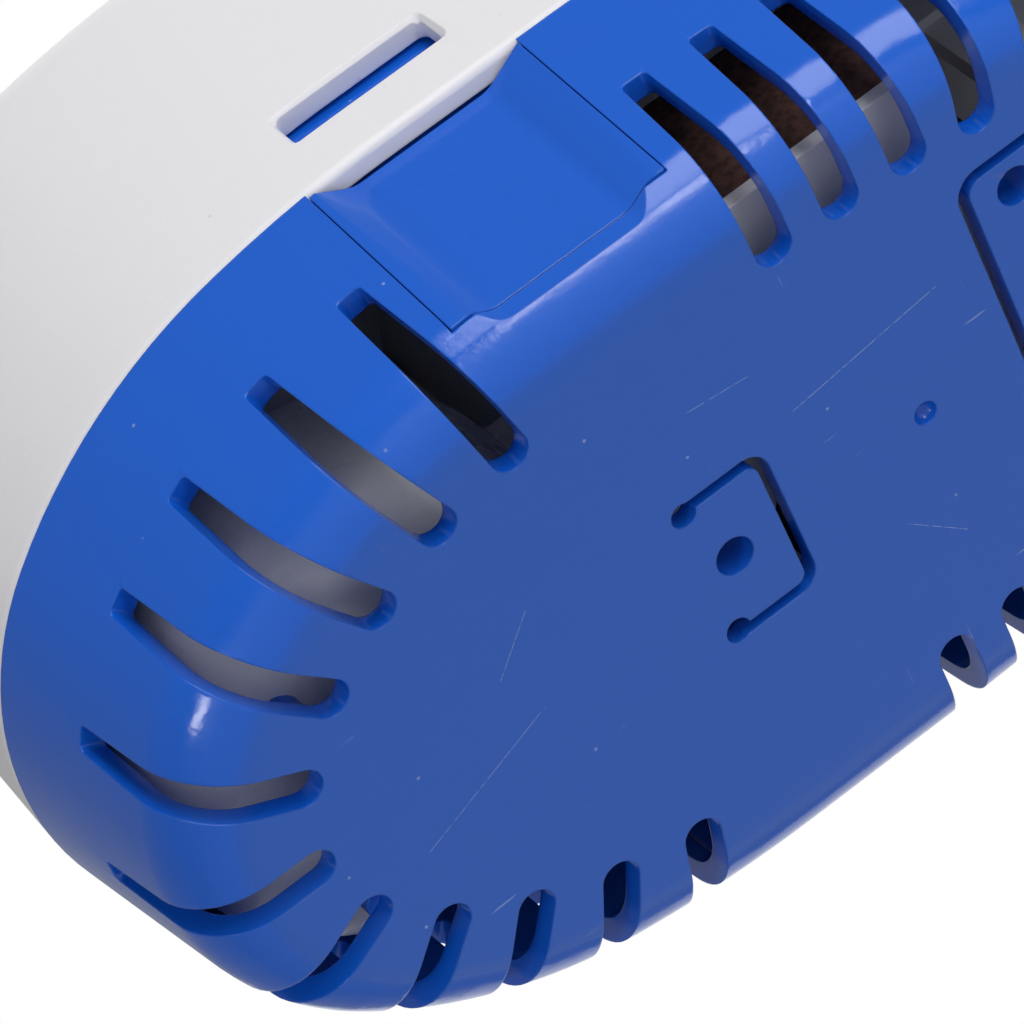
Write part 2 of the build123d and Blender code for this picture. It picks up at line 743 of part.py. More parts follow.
barb_start = half_width + 5.0
chamber_end = valve_start + valve_length
with BuildPart() as outlet_nozzle:
    with BuildSketch(Plane.YZ.offset(riser_x)):
        with BuildLine():
            reach = barb_start + barb_length
            tooth = barb_length / (barb_count + 1)
            points = [(valve_start, outlet_height + valve_radius),
                      (barb_start - 2, outlet_height + valve_radius),
                      (barb_start, outlet_height + barb_radius)]
            for index in range(barb_count):
                y = barb_start + 3 + index * tooth
                points += [(y, outlet_height + barb_radius), (y, outlet_height + barb_radius + 1.0)]
            points += [(reach, outlet_height + barb_radius - 0.8), (reach, outlet_height + barb_bore),
                       (chamber_end + 4, outlet_height + barb_bore),
                       (chamber_end, outlet_height + valve_radius - valve_wall),
                       (valve_start, outlet_height + valve_radius - valve_wall)]
            Polyline(*points, close=True)
        make_face()
    revolve(axis=Axis((riser_x, 0, outlet_height), (0, 1, 0)), revolution_arc=360)
    flap_axis_z = outlet_height + flap_radius + 0.8
    flap_axis_y = valve_start + 1.3
    add(rod((riser_x - valve_radius, flap_axis_y, flap_axis_z), (1, 0, 0), 2 * valve_radius,
            flap_pin_radius), mode=Mode.SUBTRACT)
save(outlet_nozzle, "outlet_nozzle")

pin_half = sqrt((valve_radius - 0.5) ** 2 - (flap_radius + 0.8 + flap_pin_radius) ** 2)
with BuildPart() as flap_pin:
    add(rod((riser_x - pin_half, flap_axis_y, flap_axis_z), (1, 0, 0), 2 * pin_half, flap_pin_radius))
save(flap_pin, "flap_pin")

barrel_radius = 1.1
barrel_half = 1.8
with BuildPart() as check_flap:
    flap_back = flap_axis_y - flap_thickness / 2
    add(rod((riser_x, flap_back, outlet_height), (0, 1, 0), flap_thickness, flap_radius))
    add(rod((riser_x - barrel_half, flap_axis_y, flap_axis_z), (1, 0, 0), 2 * barrel_half, barrel_radius))
    add(rod((riser_x - barrel_half, flap_axis_y, flap_axis_z), (1, 0, 0), 2 * barrel_half,
            flap_pin_radius + pin_fit), mode=Mode.SUBTRACT)
save(check_flap, "check_flap")

with BuildPart() as outlet_gasket:
    add(rod((riser_x, pad_face, outlet_height), (0, 1, 0), 1.2, pad_radius, valve_radius))
save(outlet_gasket, "outlet_gasket")

nut_start = pad_face + 1.2
with BuildPart() as outlet_nut:
    nut_plane = Plane(origin=(riser_x, nut_start, outlet_height), x_dir=(1, 0, 0), z_dir=(0, 1, 0))
    with BuildSketch(nut_plane):
        RegularPolygon(pad_radius + 0.5, 12)
        Circle(valve_radius, mode=Mode.SUBTRACT)
    extrude(amount=barb_start - 2 - nut_start)
save(outlet_nut, "outlet_nut")

# ================================================================ float
float_middle = (float_start + float_end) / 2
float_length = float_end - float_start
foam_bottom = float_bottom + tray_thickness
with BuildPart() as float_foam:
    with BuildSketch(Plane.XY.offset(foam_bottom)):
        with Locations((float_middle, 0)):
            RectangleRounded(float_length - 1, 2 * float_half_width - 1, 3)
    extrude(amount=foam_height)
save(float_foam, "float_foam")

arm_middle = arm_spacing / 2
cam_top = box_floor - 7.0
with BuildPart() as float_tray:
    with BuildSketch(Plane.XY.offset(float_bottom)):
        with Locations((float_middle, 0)):
            RectangleRounded(float_length, 2 * float_half_width, 3.5)
    extrude(amount=tray_thickness)
    for side in (-1, 1):
        with BuildSketch(Plane.XZ.offset(-side * arm_middle - arm_width / 2)):
            with BuildLine():
                Polyline((float_end - 6, float_bottom), (float_end + 2, float_bottom),
                         (pivot_x + 2, pivot_z - float_hub_radius + 1),
                         (pivot_x, pivot_z + float_hub_radius - 1),
                         (float_end + 1, float_bottom + 8), (float_end + 0.3, float_bottom + 2),
                         (float_end - 6, float_bottom + 2), close=True)
            make_face()
        extrude(amount=arm_width)
    hub_half = arm_middle + arm_width / 2
    add(rod((pivot_x, -hub_half, pivot_z), (0, 1, 0), 2 * hub_half, float_hub_radius))
    cam_half = 2.2
    with BuildSketch(Plane.XZ.offset(-cam_half)):
        with BuildLine():
            Polyline((plunger_x - 1.5, cam_top), (plunger_x + 1.5, cam_top),
                     (pivot_x + 2, pivot_z + 3), (pivot_x + tail_reach, pivot_z + 4),
                     (pivot_x + tail_reach, pivot_z + 1), (pivot_x, pivot_z - 3),
                     (plunger_x - 1.5, cam_top - 4), close=True)
        make_face()
    extrude(amount=2 * cam_half)
    add(rod((pivot_x, -hub_half, pivot_z), (0, 1, 0), 2 * hub_half, float_pin_radius + pin_fit),
        mode=Mode.SUBTRACT)
save(float_tray, "float_tray")

# ================================================================ switch box
ear_inner = hub_half + running_gap
with BuildPart() as switch_box:
    add(box(box_x, box_y, (box_floor, box_lid_z)))
    add(box((box_x[0] + box_wall, box_x[1] - box_wall), (box_y[0] + box_wall, box_y[1] - box_wall),
            (box_floor + box_wall, box_lid_z)), mode=Mode.SUBTRACT)
    for side in (-1, 1):
        ear_y = sorted((side * ear_inner, side * (ear_inner + ear_thickness)))
        add(box((pivot_x - 4, pivot_x + 4), ear_y, (pivot_z, box_floor)))
        add(rod((pivot_x, ear_y[0], pivot_z), (0, 1, 0), ear_thickness, 4.0))
    add(rod((pivot_x, box_y[0], pivot_z), (0, 1, 0), box_width, float_pin_radius), mode=Mode.SUBTRACT)
    add(rod((plunger_x, 0, box_floor), (0, 0, 1), box_wall, plunger_radius + 0.05), mode=Mode.SUBTRACT)
save(switch_box, "switch_box")

with BuildPart() as switch_lid:
    add(box(box_x, box_y, (box_lid_z, box_lid_z + lid_thickness)))
save(switch_lid, "switch_lid")

with BuildPart() as float_pin:
    pin_reach = ear_inner + ear_thickness
    add(rod((pivot_x, -pin_reach, pivot_z), (0, 1, 0), 2 * pin_reach, float_pin_radius))
save(float_pin, "float_pin")

lever_thickness = 0.8
plunger_top = lever_pivot_z - lever_thickness / 2 - stack_gap
plunger_foot = cam_top + stack_gap
with BuildPart() as switch_plunger:
    add(rod((plunger_x, 0, plunger_foot), (0, 0, 1), plunger_top - plunger_foot, plunger_radius))
    add(rod((plunger_x, 0, plunger_foot), (0, 0, 1), 1.0, plunger_radius + 1.0))
save(switch_plunger, "switch_plunger")

boot_travel = 2.4
ring("plunger_boot", plunger_radius + 2.2, plunger_radius + 0.05,
     plunger_foot + 1.0 + boot_travel, box_floor, (plunger_x, 0))

lever_radius = 1.2
with BuildPart() as switch_lever:
    add(box((plunger_x - 1.5, lever_pivot_x), (-2.2, 2.2),
            (lever_pivot_z - lever_thickness / 2, lever_pivot_z + lever_thickness / 2)))
    add(rod((lever_pivot_x, -2.2, lever_pivot_z), (0, 1, 0), 4.4, lever_radius))
save(switch_lever, "switch_lever")

button_x = lever_pivot_x - 5.0
button_radius = 1.1
micro_bottom = lever_pivot_z + 3.6
button_bottom = lever_pivot_z + lever_thickness / 2 + stack_gap
with BuildPart() as microswitch:
    add(box((plunger_x, plunger_x + switch_length), (-3.2, 3.2), (micro_bottom, micro_bottom + 10)))
    add(rod((button_x, 0, micro_bottom), (0, 0, 1), 4.0, button_radius + 0.05), mode=Mode.SUBTRACT)
    for side in (-1, 1):
        cheek_y = sorted((side * 2.5, side * 3.2))
        add(box((lever_pivot_x - 2, lever_pivot_x + 2), cheek_y, (lever_pivot_z - 2, micro_bottom)))
save(microswitch, "microswitch")

with BuildPart() as switch_button:
    add(rod((button_x, 0, button_bottom), (0, 0, 1), micro_bottom + 1.5 - button_bottom, button_radius))
save(switch_button, "switch_button")

with BuildPart() as switch_mount:
    add(box((plunger_x, plunger_x + switch_length), (3.2, box_y[1] - box_wall),
            (micro_bottom + 1, micro_bottom + 9)))
save(switch_mount, "switch_mount")

# ================================================================ test knob
knob_face = base_length - hole_to_nose + 1.0
finger_x = pivot_x + tail_reach - 2.0
with BuildPart() as knob_shaft:
    add(rod((finger_x - 1.5, 0, knob_axis_z), (1, 0, 0), knob_face + 4 - finger_x + 1.5,
            knob_shaft_radius))
    add(box((finger_x - 1.5, finger_x + 1.5), (0, finger_length), (knob_axis_z - 1.2, knob_axis_z + 1.2)))
save(knob_shaft, "knob_shaft")

with BuildPart() as test_knob:
    add(rod((knob_face, 0, knob_axis_z), (1, 0, 0), 8.0, knob_radius))
    fillet(test_knob.faces().sort_by(Axis.X)[-1].edges(), radius=1.0)
    add(box((knob_face + 8.0, knob_face + 12.0), (-knob_radius + 1.2, knob_radius - 1.2),
            (knob_axis_z - 1.6, knob_axis_z + 1.6)))
    add(rod((knob_face, 0, knob_axis_z), (1, 0, 0), 4.0, knob_shaft_radius), mode=Mode.SUBTRACT)
save(test_knob, "test_knob")

# ================================================================ cable gland
gland_layers = [(deck_underside, housing_top), (housing_top, housing_top + 4.0),
                (housing_top + 4.0, housing_top + 10.0)]
with BuildPart() as cable_gland:
    for index, (z0, z1) in enumerate(gland_layers):
        with BuildSketch(Plane.XY.offset(z0)):
            with Locations(gland_place):
                if index == 1:
                    RegularPolygon(gland_radius, 6)
                else:
                    Circle(gland_radius - 2.0)
                Circle(gland_bore, mode=Mode.SUBTRACT)
        extrude(amount=z1 - z0)
save(cable_gland, "cable_gland")

with BuildPart() as gland_nut:
    with BuildSketch(Plane.XY.offset(housing_top + 4.0)):
        with Locations(gland_place):
            RegularPolygon(gland_radius, 12)
            Circle(gland_radius - 2.0, mode=Mode.SUBTRACT)
    extrude(amount=6.0)
    with BuildSketch(Plane.XY.offset(housing_top + 10.0)):
        with Locations(gland_place):
            Circle(gland_radius - 0.8)
            Circle(gland_bore, mode=Mode.SUBTRACT)
    extrude(amount=2.0)
save(gland_nut, "gland_nut")
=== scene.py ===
"""Automatic bilge pump: round-edged mouldings and finishes over the fixed CAD frame."""
import json
from math import radians

import bpy
from mathutils import Matrix, Vector


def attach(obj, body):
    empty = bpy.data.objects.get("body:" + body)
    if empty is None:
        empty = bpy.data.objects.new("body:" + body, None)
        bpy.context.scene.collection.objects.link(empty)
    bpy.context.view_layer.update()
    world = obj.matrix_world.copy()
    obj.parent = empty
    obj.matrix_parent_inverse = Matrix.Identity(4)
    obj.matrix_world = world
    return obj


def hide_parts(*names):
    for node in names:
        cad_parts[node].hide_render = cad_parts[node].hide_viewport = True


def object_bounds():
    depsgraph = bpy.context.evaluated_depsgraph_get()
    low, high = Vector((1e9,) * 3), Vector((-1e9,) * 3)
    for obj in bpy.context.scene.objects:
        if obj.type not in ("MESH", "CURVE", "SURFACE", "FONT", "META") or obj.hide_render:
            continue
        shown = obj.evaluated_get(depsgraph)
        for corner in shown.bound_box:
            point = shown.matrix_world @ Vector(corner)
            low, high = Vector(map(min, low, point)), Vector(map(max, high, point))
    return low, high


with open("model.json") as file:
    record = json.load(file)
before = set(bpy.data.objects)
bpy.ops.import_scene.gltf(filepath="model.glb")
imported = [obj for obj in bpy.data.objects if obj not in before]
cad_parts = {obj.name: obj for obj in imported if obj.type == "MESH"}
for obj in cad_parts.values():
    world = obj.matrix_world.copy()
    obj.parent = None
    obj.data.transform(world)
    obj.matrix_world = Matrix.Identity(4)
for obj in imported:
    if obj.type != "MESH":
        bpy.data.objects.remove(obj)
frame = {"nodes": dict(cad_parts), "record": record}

bl_info = {
    "name": "Bilge Pump",
    "version": (1, 0, 0),
    "blender": (4, 5, 0),
    "location": "View3D > Sidebar > Bilge Pump",
    "description": "Finishes an automatic bilge pump: mouldings, motor, float switch and outlet",
    "category": "Object",
}

MM = 0.001
CAD_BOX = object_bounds()
SLOTS = {row["node"]: row["material_slot"] for row in frame["record"]["subparts"]}
COLOURS = {row["slot"]: row["base_color"] for row in frame["record"]["materials"]}
BODY_OF = {node: body
           for body, nodes in frame["record"]["behaviour"]["bodies"].items() for node in nodes}

PUMP_AXIS = (0.039, 0, 0)        # moves a pattern's centre onto the shaft
MERGE_GAP = 0.002 * MM           # corners nearer than this are one corner
FLAT_ANGLE = radians(0.6)        # faces that bend less than this become one
SMOOTH_ANGLE = radians(32)       # edges that bend less than this are shaded smooth
BEVEL_ANGLE = radians(38)        # edges that bend more than this are rounded

BLUE_WORN = (0.45, 0.55, 0.75)
SPECK_GREY = (0.30, 0.30, 0.32)
RUBBER_BLACK = (0.016, 0.016, 0.017)
RUBBER_BLOOM = (0.055, 0.055, 0.058)
SHEET_STEEL = (0.24, 0.24, 0.26)
SHEET_GAP = (0.03, 0.03, 0.03)
COPPER = (0.62, 0.24, 0.09)
PIN_STEEL = (0.62, 0.62, 0.64)
CAN_STEEL = (0.46, 0.46, 0.44)
BRONZE = (0.50, 0.33, 0.14)
FERRITE = (0.07, 0.07, 0.075)
CARBON = (0.03, 0.03, 0.032)

# Scratches in the underside: the long one first, each from one point to another.
LONG_SCRATCH = ((0.013, -0.012, 0), (0.034, -0.0142, 0))
SHORT_SCRATCHES = (
    ((-0.046, 0.008, 0), (-0.027, 0.001, 0)),
    ((0.002, -0.021, 0), (0.010, -0.020, 0)),
    ((-0.030, -0.006, 0), (-0.024, -0.012, 0)),
    ((0.020, 0.012, 0), (0.026, 0.018, 0)),
)

# Lights: name, direction from the pump, distance, size, share of the key light's power.
LIGHTS = (
    ("key", (0.30, -0.86, -0.06), 1.3, 0.8, 1.0),
    ("underside_card", (0.19, 0.64, -0.74), 1.3, 1.0, 0.22),
    ("camera_fill", (-0.25, -0.60, -0.76), 1.5, 0.35, 0.85),
    ("nose_strip", (-0.80, -0.35, -0.44), 1.4, 0.22, 0.22),
    ("flank_strip", (0.19, -0.85, -0.50), 1.4, 0.25, 0.22),
    ("top", (0.2, 0.2, 1.0), 1.5, 1.4, 0.8),
    ("rear", (0.3, 0.95, 0.35), 1.6, 1.4, 0.5),
)
FLOOR_SIZE = 12
PAPER_WHITE = (1.0, 1.0, 1.0, 1.0)

# Camera: its three axes in the pump's frame, its place and its lens.
CAMERA_RIGHT = Vector((0.7881, 0.3475, -0.5081))
CAMERA_UP = Vector((0.5844, -0.6817, 0.4403))
CAMERA_BACK = Vector((-0.1933, -0.6439, -0.7403))
CAMERA_PLACE = (-0.15267, -0.46534, -0.50682)
CAMERA_SENSOR = 36.0
CAMERA_LENS = 225.3
CAMERA_NEAR = 0.01


# ---------------------------------------------------------------- shader expressions
class Wire:
    """A shader socket that takes part in plain arithmetic; each step adds a Math node."""

    def __init__(self, finish, socket):
        self.finish = finish
        self.socket = socket

    def step(self, operation, *values):
        return self.finish.node("ShaderNodeMath", {"operation": operation},
                                dict(enumerate(values)))

    def __add__(self, other):
        return self.step("ADD", self, other)

    def __sub__(self, other):
        return self.step("SUBTRACT", self, other)

    def __rsub__(self, other):
        return self.step("SUBTRACT", other, self)

    def __mul__(self, other):
        return self.step("MULTIPLY", self, other)

    __radd__ = __add__
    __rmul__ = __mul__

    def over(self, edge, soft):
        """0 below an edge, 1 above it, rising over a soft width."""
        return self.finish.node("ShaderNodeMapRange", {"interpolation_type": "SMOOTHSTEP"},
                                {"Value": self, "From Min": edge - soft / 2,
                                 "From Max": edge + soft / 2})

    def under(self, edge, soft):
        return 1 - self.over(edge, soft)

    def greater(self, other):
        return self.step("MAXIMUM", self, other)


class Finish:
    """One surface finish. Even values are set on the shader's own sockets."""

    def __init__(self, name, metallic=0.0, **even):
        self.material = bpy.data.materials.new(name)
        self.material.use_nodes = True
        self.tree = self.material.node_tree
        self.shader = self.tree.nodes["Principled BSDF"]
        self.shader.inputs["Metallic"].default_value = metallic
        for socket, value in even.items():
            self.shader.inputs[socket.replace("_", " ")].default_value = value
        self.place = self.node("ShaderNodeTexCoord", output="Object")
        self.height = self.node("ShaderNodeSeparateXYZ", {}, {0: self.place}, "Z")

    def node(self, kind, settings=None, inputs=None, output=0):
        """Any node: its settings first, then the values or links of its sockets."""
        made = self.tree.nodes.new(kind)
        for setting, value in (settings or {}).items():
            setattr(made, setting, value)
        for socket, value in (inputs or {}).items():
            if isinstance(value, Wire):
                self.tree.links.new(value.socket, made.inputs[socket])
            else:
                made.inputs[socket].default_value = value
        return Wire(self, made.outputs[output])

    def feed(self, socket, wire):
        self.tree.links.new(wire.socket, self.shader.inputs[socket])

    def stretched(self, scale, turn=(0, 0, 0), centre=(0, 0, 0)):
        """Object coordinates scaled along each axis, turned and centred."""
        return self.node("ShaderNodeMapping", {},
                         {"Vector": self.place, "Location": centre, "Rotation": turn,
                          "Scale": scale})

    def noise(self, size, detail=3.0, rough=0.55, place=None):
        """Smooth noise whose features are about one size, in metres."""
        return self.node("ShaderNodeTexNoise", {},
                         {"Vector": place or self.place, "Scale": 1 / size,
                          "Detail": detail, "Roughness": rough})

    def cells(self, size, feature="F1", place=None, output="Distance"):
        return self.node("ShaderNodeTexVoronoi", {"feature": feature},
                         {"Vector": place or self.place, "Scale": 1 / size}, output)

    def mix(self, amount, first, second):
        """A colour between two colours."""
        ends = [end if isinstance(end, Wire) else (*end[:3], 1.0) for end in (first, second)]
        return self.node("ShaderNodeMix", {"data_type": "RGBA"},
                         {0: amount, 6: ends[0], 7: ends[1]}, 2)

    def specks(self, size, share):
        """Sparse round specks, one in a share of the cells."""
        near = self.cells(size).under(0.09, 0.06)
        chosen = self.node("ShaderNodeSeparateColor", {}, {0: self.cells(size, output="Color")})
        return near * chosen.over(1 - share, 0.01)

    def score(self, start, end, width):
        """A fine straight scratch between two points."""
        start, end = Vector(start), Vector(end)
        run = end - start
        from_start = self.node("ShaderNodeVectorMath", {"operation": "SUBTRACT"},
                               {0: self.place, 1: start})
        along = self.node("ShaderNodeVectorMath", {"operation": "DOT_PRODUCT"},
                          {0: from_start, 1: run / run.length_squared}, "Value")
        held = self.node("ShaderNodeClamp", {}, {"Value": along})
        reach = self.node("ShaderNodeVectorMath", {"operation": "SCALE"}, {0: run, "Scale": held})
        gap = self.node("ShaderNodeVectorMath", {"operation": "DISTANCE"},
                        {0: from_start, 1: reach}, "Value")
        return gap.under(width, width)

    def relief(self, height, depth, normal=None):
        """Bump from a height, with its depth in metres, over rounded corners if given."""
        inputs = {"Strength": 1.0, "Distance": depth, "Height": height}
        if normal:
            inputs["Normal"] = normal
        self.feed("Normal", self.node("ShaderNodeBump", {}, inputs))

    def rounded(self, radius):
        """Normals that wrap round corners within a radius."""
        return self.node("ShaderNodeBevel", {"samples": 6}, {"Radius": radius})


def tint(colour, factor):
    """A colour made darker or lighter."""
    return tuple(min(1.0, c * factor) for c in colour[:3])


# ---------------------------------------------------------------- finishes
def blue_gloss(looks):
    """Moulded blue plastic: glossy sides, and a rougher, finely scored underside whose blue is
    painted darker and greyer as painted shade and painted reflection haze.
    """
    f = Finish("blue_gloss", IOR=1.5)
    blue = looks.blue
    cloud = f.noise(9 * MM, 4.0)
    under = f.height.under(0.35 * MM, 0.5 * MM)
    fine_place = f.stretched((60, 900, 200), (0, 0, radians(37)))
    cross_place = f.stretched((700, 45, 200), (0, 0, radians(12)))
    fine_hair = f.noise(1.0, 2.0, place=fine_place).over(0.73, 0.03)
    cross_hair = f.noise(1.0, 2.0, place=cross_place).over(0.75, 0.03)
    hair = (fine_hair + cross_hair) * f.noise(14 * MM, 2.0).over(0.56, 0.1) * under
    marks = f.score(*LONG_SCRATCH, 0.045 * MM)
    for start, end in SHORT_SCRATCHES:
        marks = marks.greater(f.score(start, end, 0.035 * MM))
    dust = f.specks(2.4 * MM, 0.03) * 0.4
    worn = (hair * 0.35 + marks * f.noise(0.8 * MM).over(0.45, 0.2) * 0.6 + dust) * looks.wear
    base = f.mix(cloud * 0.22, blue, tint(blue, 0.86))
    # Painted shade and painted reflection haze: the underside gets a darker, greyer copy of the
    # blue.
    underside_shaded = f.mix(under * 0.5, base, looks.shaded_underside_blue)
    f.feed("Base Color", f.mix(worn, underside_shaded, BLUE_WORN))
    f.feed("Roughness", 0.12 + cloud * 0.07 + under * 0.18 + worn * 0.3)
    pebble = f.noise(0.7 * MM, 4.0) * 0.4 + f.noise(6 * MM, 2.0) * 0.9 - worn * 0.5
    f.relief(pebble, 0.05 * MM, f.rounded(looks.corner))
    return f.material


def white_satin(looks):
    """Moulded white plastic with a fine spark-eroded texture and a few grey specks."""
    f = Finish("white_satin", IOR=1.49, Subsurface_Weight=0.06, Subsurface_Scale=1.5 * MM)
    grain = f.noise(0.28 * MM, 3.0)
    cloud = f.noise(22 * MM, 3.0)
    dirt = f.specks(3 * MM, 0.04) * 0.3 * looks.wear
    base = f.mix(cloud * 0.3, looks.white, tint(looks.white, 0.94))
    f.feed("Base Color", f.mix(dirt, base, SPECK_GREY))
    f.feed("Roughness", 0.33 + grain * 0.14 + cloud * 0.06)
    f.relief(grain * 0.5 + f.noise(9 * MM, 2.0), 0.03 * MM, f.rounded(looks.corner))
    return f.material


def bowl_gloss(looks):
    """Pale glossy plastic of the pump chamber, with fine rings round its axis and water marks."""
    f = Finish("bowl_gloss", IOR=1.5)
    ring = f.node("ShaderNodeTexWave", {"wave_type": "RINGS", "rings_direction": "Z"},
                  {"Vector": f.stretched((1, 1, 1), centre=PUMP_AXIS),
                   "Scale": 900.0, "Distortion": 2.0})
    film = f.noise(5 * MM, 4.0).over(0.5, 0.3)
    base = f.mix(film * 0.35, looks.bowl, tint(looks.bowl, 0.82))
    f.feed("Base Color", base)
    f.feed("Roughness", 0.14 + film * 0.22 + ring * 0.04)
    f.relief(ring * 0.15 + f.noise(4 * MM, 2.0), 0.03 * MM, f.rounded(looks.corner))
    return f.material


def dull_plastic(name, looks, colour, rough):
    """Plain moulded plastic with a fine grain."""
    f = Finish(name, IOR=1.5)
    grain = f.noise(0.35 * MM, 3.0)
    cloud = f.noise(8 * MM, 3.0)
    f.feed("Base Color", f.mix(cloud * 0.35, colour, tint(colour, 0.8)))
    f.feed("Roughness", rough + grain * 0.12 + cloud * 0.06)
    f.relief(grain + f.noise(5 * MM, 2.0) * 0.5, 0.03 * MM, f.rounded(looks.corner))
    return f.material


def cell_foam(looks):
    """Dark closed-cell foam: packed bubbles cut open at the surface, with painted shade in their
    pits and painted light on their rims.
    """
    f = Finish("cell_foam", IOR=1.4)
    bubble = f.cells(0.9 * MM, "SMOOTH_F1")
    pinhole = f.cells(0.45 * MM)
    cloud = f.noise(6 * MM, 4.0)
    colour = looks.foam
    # Painted shade and light: each bubble's pit darker, its raised rim lighter.
    body = f.mix(bubble.over(0.45, 0.5) * 0.7, tint(colour, 0.7), tint(colour, 1.6))
    f.feed("Base Color", f.mix(cloud * 0.5, body, tint(colour, 0.6)))
    f.feed("Roughness", 0.78 + pinhole * 0.15)
    f.relief(bubble * 0.8 + pinhole * 0.4, 0.25 * MM)
    return f.material


def soft_rubber(looks):
    """Black rubber with a dry bloom."""
    f = Finish("soft_rubber", IOR=1.52)
    bloom = f.noise(3 * MM, 5.0).over(0.52, 0.3)
    base = f.mix(bloom * 0.5, RUBBER_BLACK, RUBBER_BLOOM)
    f.feed("Base Color", base)
    f.feed("Roughness", 0.55 + bloom * 0.25)
    f.relief(f.noise(0.3 * MM, 3.0), 0.04 * MM, f.rounded(looks.corner))
    return f.material


def drawn_steel(name, looks, colour, stretch=(60, 60, 4000)):
    """Metal with fine lines along the way it was drawn or turned, and a little tarnish."""
    f = Finish(name, metallic=1.0)
    line = f.noise(1.0, 3.0, place=f.stretched(stretch))
    stain = f.noise(4 * MM, 5.0).over(0.58, 0.25)
    lined = f.mix(line * 0.3, colour, tint(colour, 0.75))
    f.feed("Base Color", f.mix(stain * 0.5, lined, tint(colour, 0.45)))
    f.feed("Roughness", 0.24 + line * 0.16 + stain * 0.2)
    f.relief(line, 0.02 * MM, f.rounded(looks.corner))
    return f.material


def stacked_steel(looks):
    """Laminations: a dark edge between each pair of sheets."""
    f = Finish("stacked_steel", metallic=0.9)
    sheet = f.node("ShaderNodeTexWave",
                   {"wave_type": "BANDS", "bands_direction": "Z", "wave_profile": "SAW"},
                   {"Vector": f.place, "Scale": 320.0, "Distortion": 0.3})
    gap = sheet.over(0.86, 0.1)
    f.feed("Base Color", f.mix(gap, SHEET_STEEL, SHEET_GAP))
    f.feed("Roughness", 0.4 + gap * 0.3)
    f.relief(1 - gap, 0.1 * MM)
    return f.material


def wound_copper(looks):
    """Enamelled copper turns, with painted light on each turn's crown and painted shade in the
    grooves between turns.
    """
    f = Finish("wound_copper", metallic=0.85, Coat_Roughness=0.1)
    turn = f.node("ShaderNodeTexWave",
                  {"wave_type": "RINGS", "rings_direction": "Z", "wave_profile": "SIN"},
                  {"Vector": f.stretched((1, 1, 1), centre=PUMP_AXIS),
                   "Scale": 520.0, "Distortion": 1.2})
    # Painted light and shade: the copper darkens to about a third in the grooves between turns.
    f.feed("Base Color", f.mix(turn, tint(COPPER, 0.35), COPPER))
    f.feed("Roughness", 0.38 - turn * 0.12)
    f.feed("Coat Weight", turn * 0.6)
    f.relief(turn, 0.2 * MM)
    return f.material


def pressed_powder(name, looks, colour, metallic, rough):
    """Sintered bronze, ferrite or carbon: pressed grains with small pores, the pores darkened with
    painted shade.
    """
    f = Finish(name, metallic=metallic)
    grain = f.cells(0.22 * MM)
    pore = grain.under(0.12, 0.1)
    cloud = f.noise(1.5 * MM, 4.0)
    # Painted shade in the pores, plus a random cloudy tone.
    f.feed("Base Color", f.mix(pore * 0.6 + cloud * 0.25, colour, tint(colour, 0.35)))
    f.feed("Roughness", rough + cloud * 0.15)
    f.relief(grain - pore, 0.05 * MM, f.rounded(looks.corner))
    return f.material


FINISHES = {}


def finishes(looks):
    """Every finish by the record's material slot, made once."""
    if not FINISHES:
        FINISHES.update({
            "blue_plastic": blue_gloss(looks),
            "white_plastic": white_satin(looks),
            "bowl_plastic": bowl_gloss(looks),
            "grey_plastic": dull_plastic("grey_moulding", looks, looks.grey, 0.34),
            "black_plastic": dull_plastic("black_moulding", looks, COLOURS["black_plastic"], 0.42),
            "red_plastic": dull_plastic("red_moulding", looks, COLOURS["red_plastic"], 0.3),
            "float_foam": cell_foam(looks),
            "rubber": soft_rubber(looks),
            "steel": drawn_steel("drawn_pin", looks, PIN_STEEL),
            "motor_steel": drawn_steel("plated_can", looks, CAN_STEEL, (900, 900, 30)),
            "lamination": stacked_steel(looks),
            "copper": wound_copper(looks),
            "bronze": pressed_powder("sintered_bronze", looks, BRONZE, 0.9, 0.4),
            "magnet": pressed_powder("ferrite", looks, FERRITE, 0.0, 0.55),
            "carbon": pressed_powder("carbon_block", looks, CARBON, 0.1, 0.5),
        })
    return FINISHES


# ---------------------------------------------------------------- shaping helpers
def alone(piece):
    """Selects one object and nothing else."""
    bpy.ops.object.select_all(action="DESELECT")
    piece.select_set(True)
    bpy.context.view_layer.objects.active = piece


def apply(piece, kind, **settings):
    """Adds a modifier and applies it."""
    alone(piece)
    modifier = piece.modifiers.new(kind.title(), kind)
    for name, value in settings.items():
        setattr(modifier, name, value)
    bpy.ops.object.modifier_apply(modifier=modifier.name)


def paint(piece, looks, slot):
    """Gives a piece the finish of one slot and no other."""
    piece.data.materials.clear()
    piece.data.materials.append(finishes(looks)[slot])


def dress(looks, *nodes):
    """Gives CAD nodes their finishes and leaves their shapes as they are."""
    for node in nodes:
        paint(frame["nodes"][node], looks, SLOTS[node])


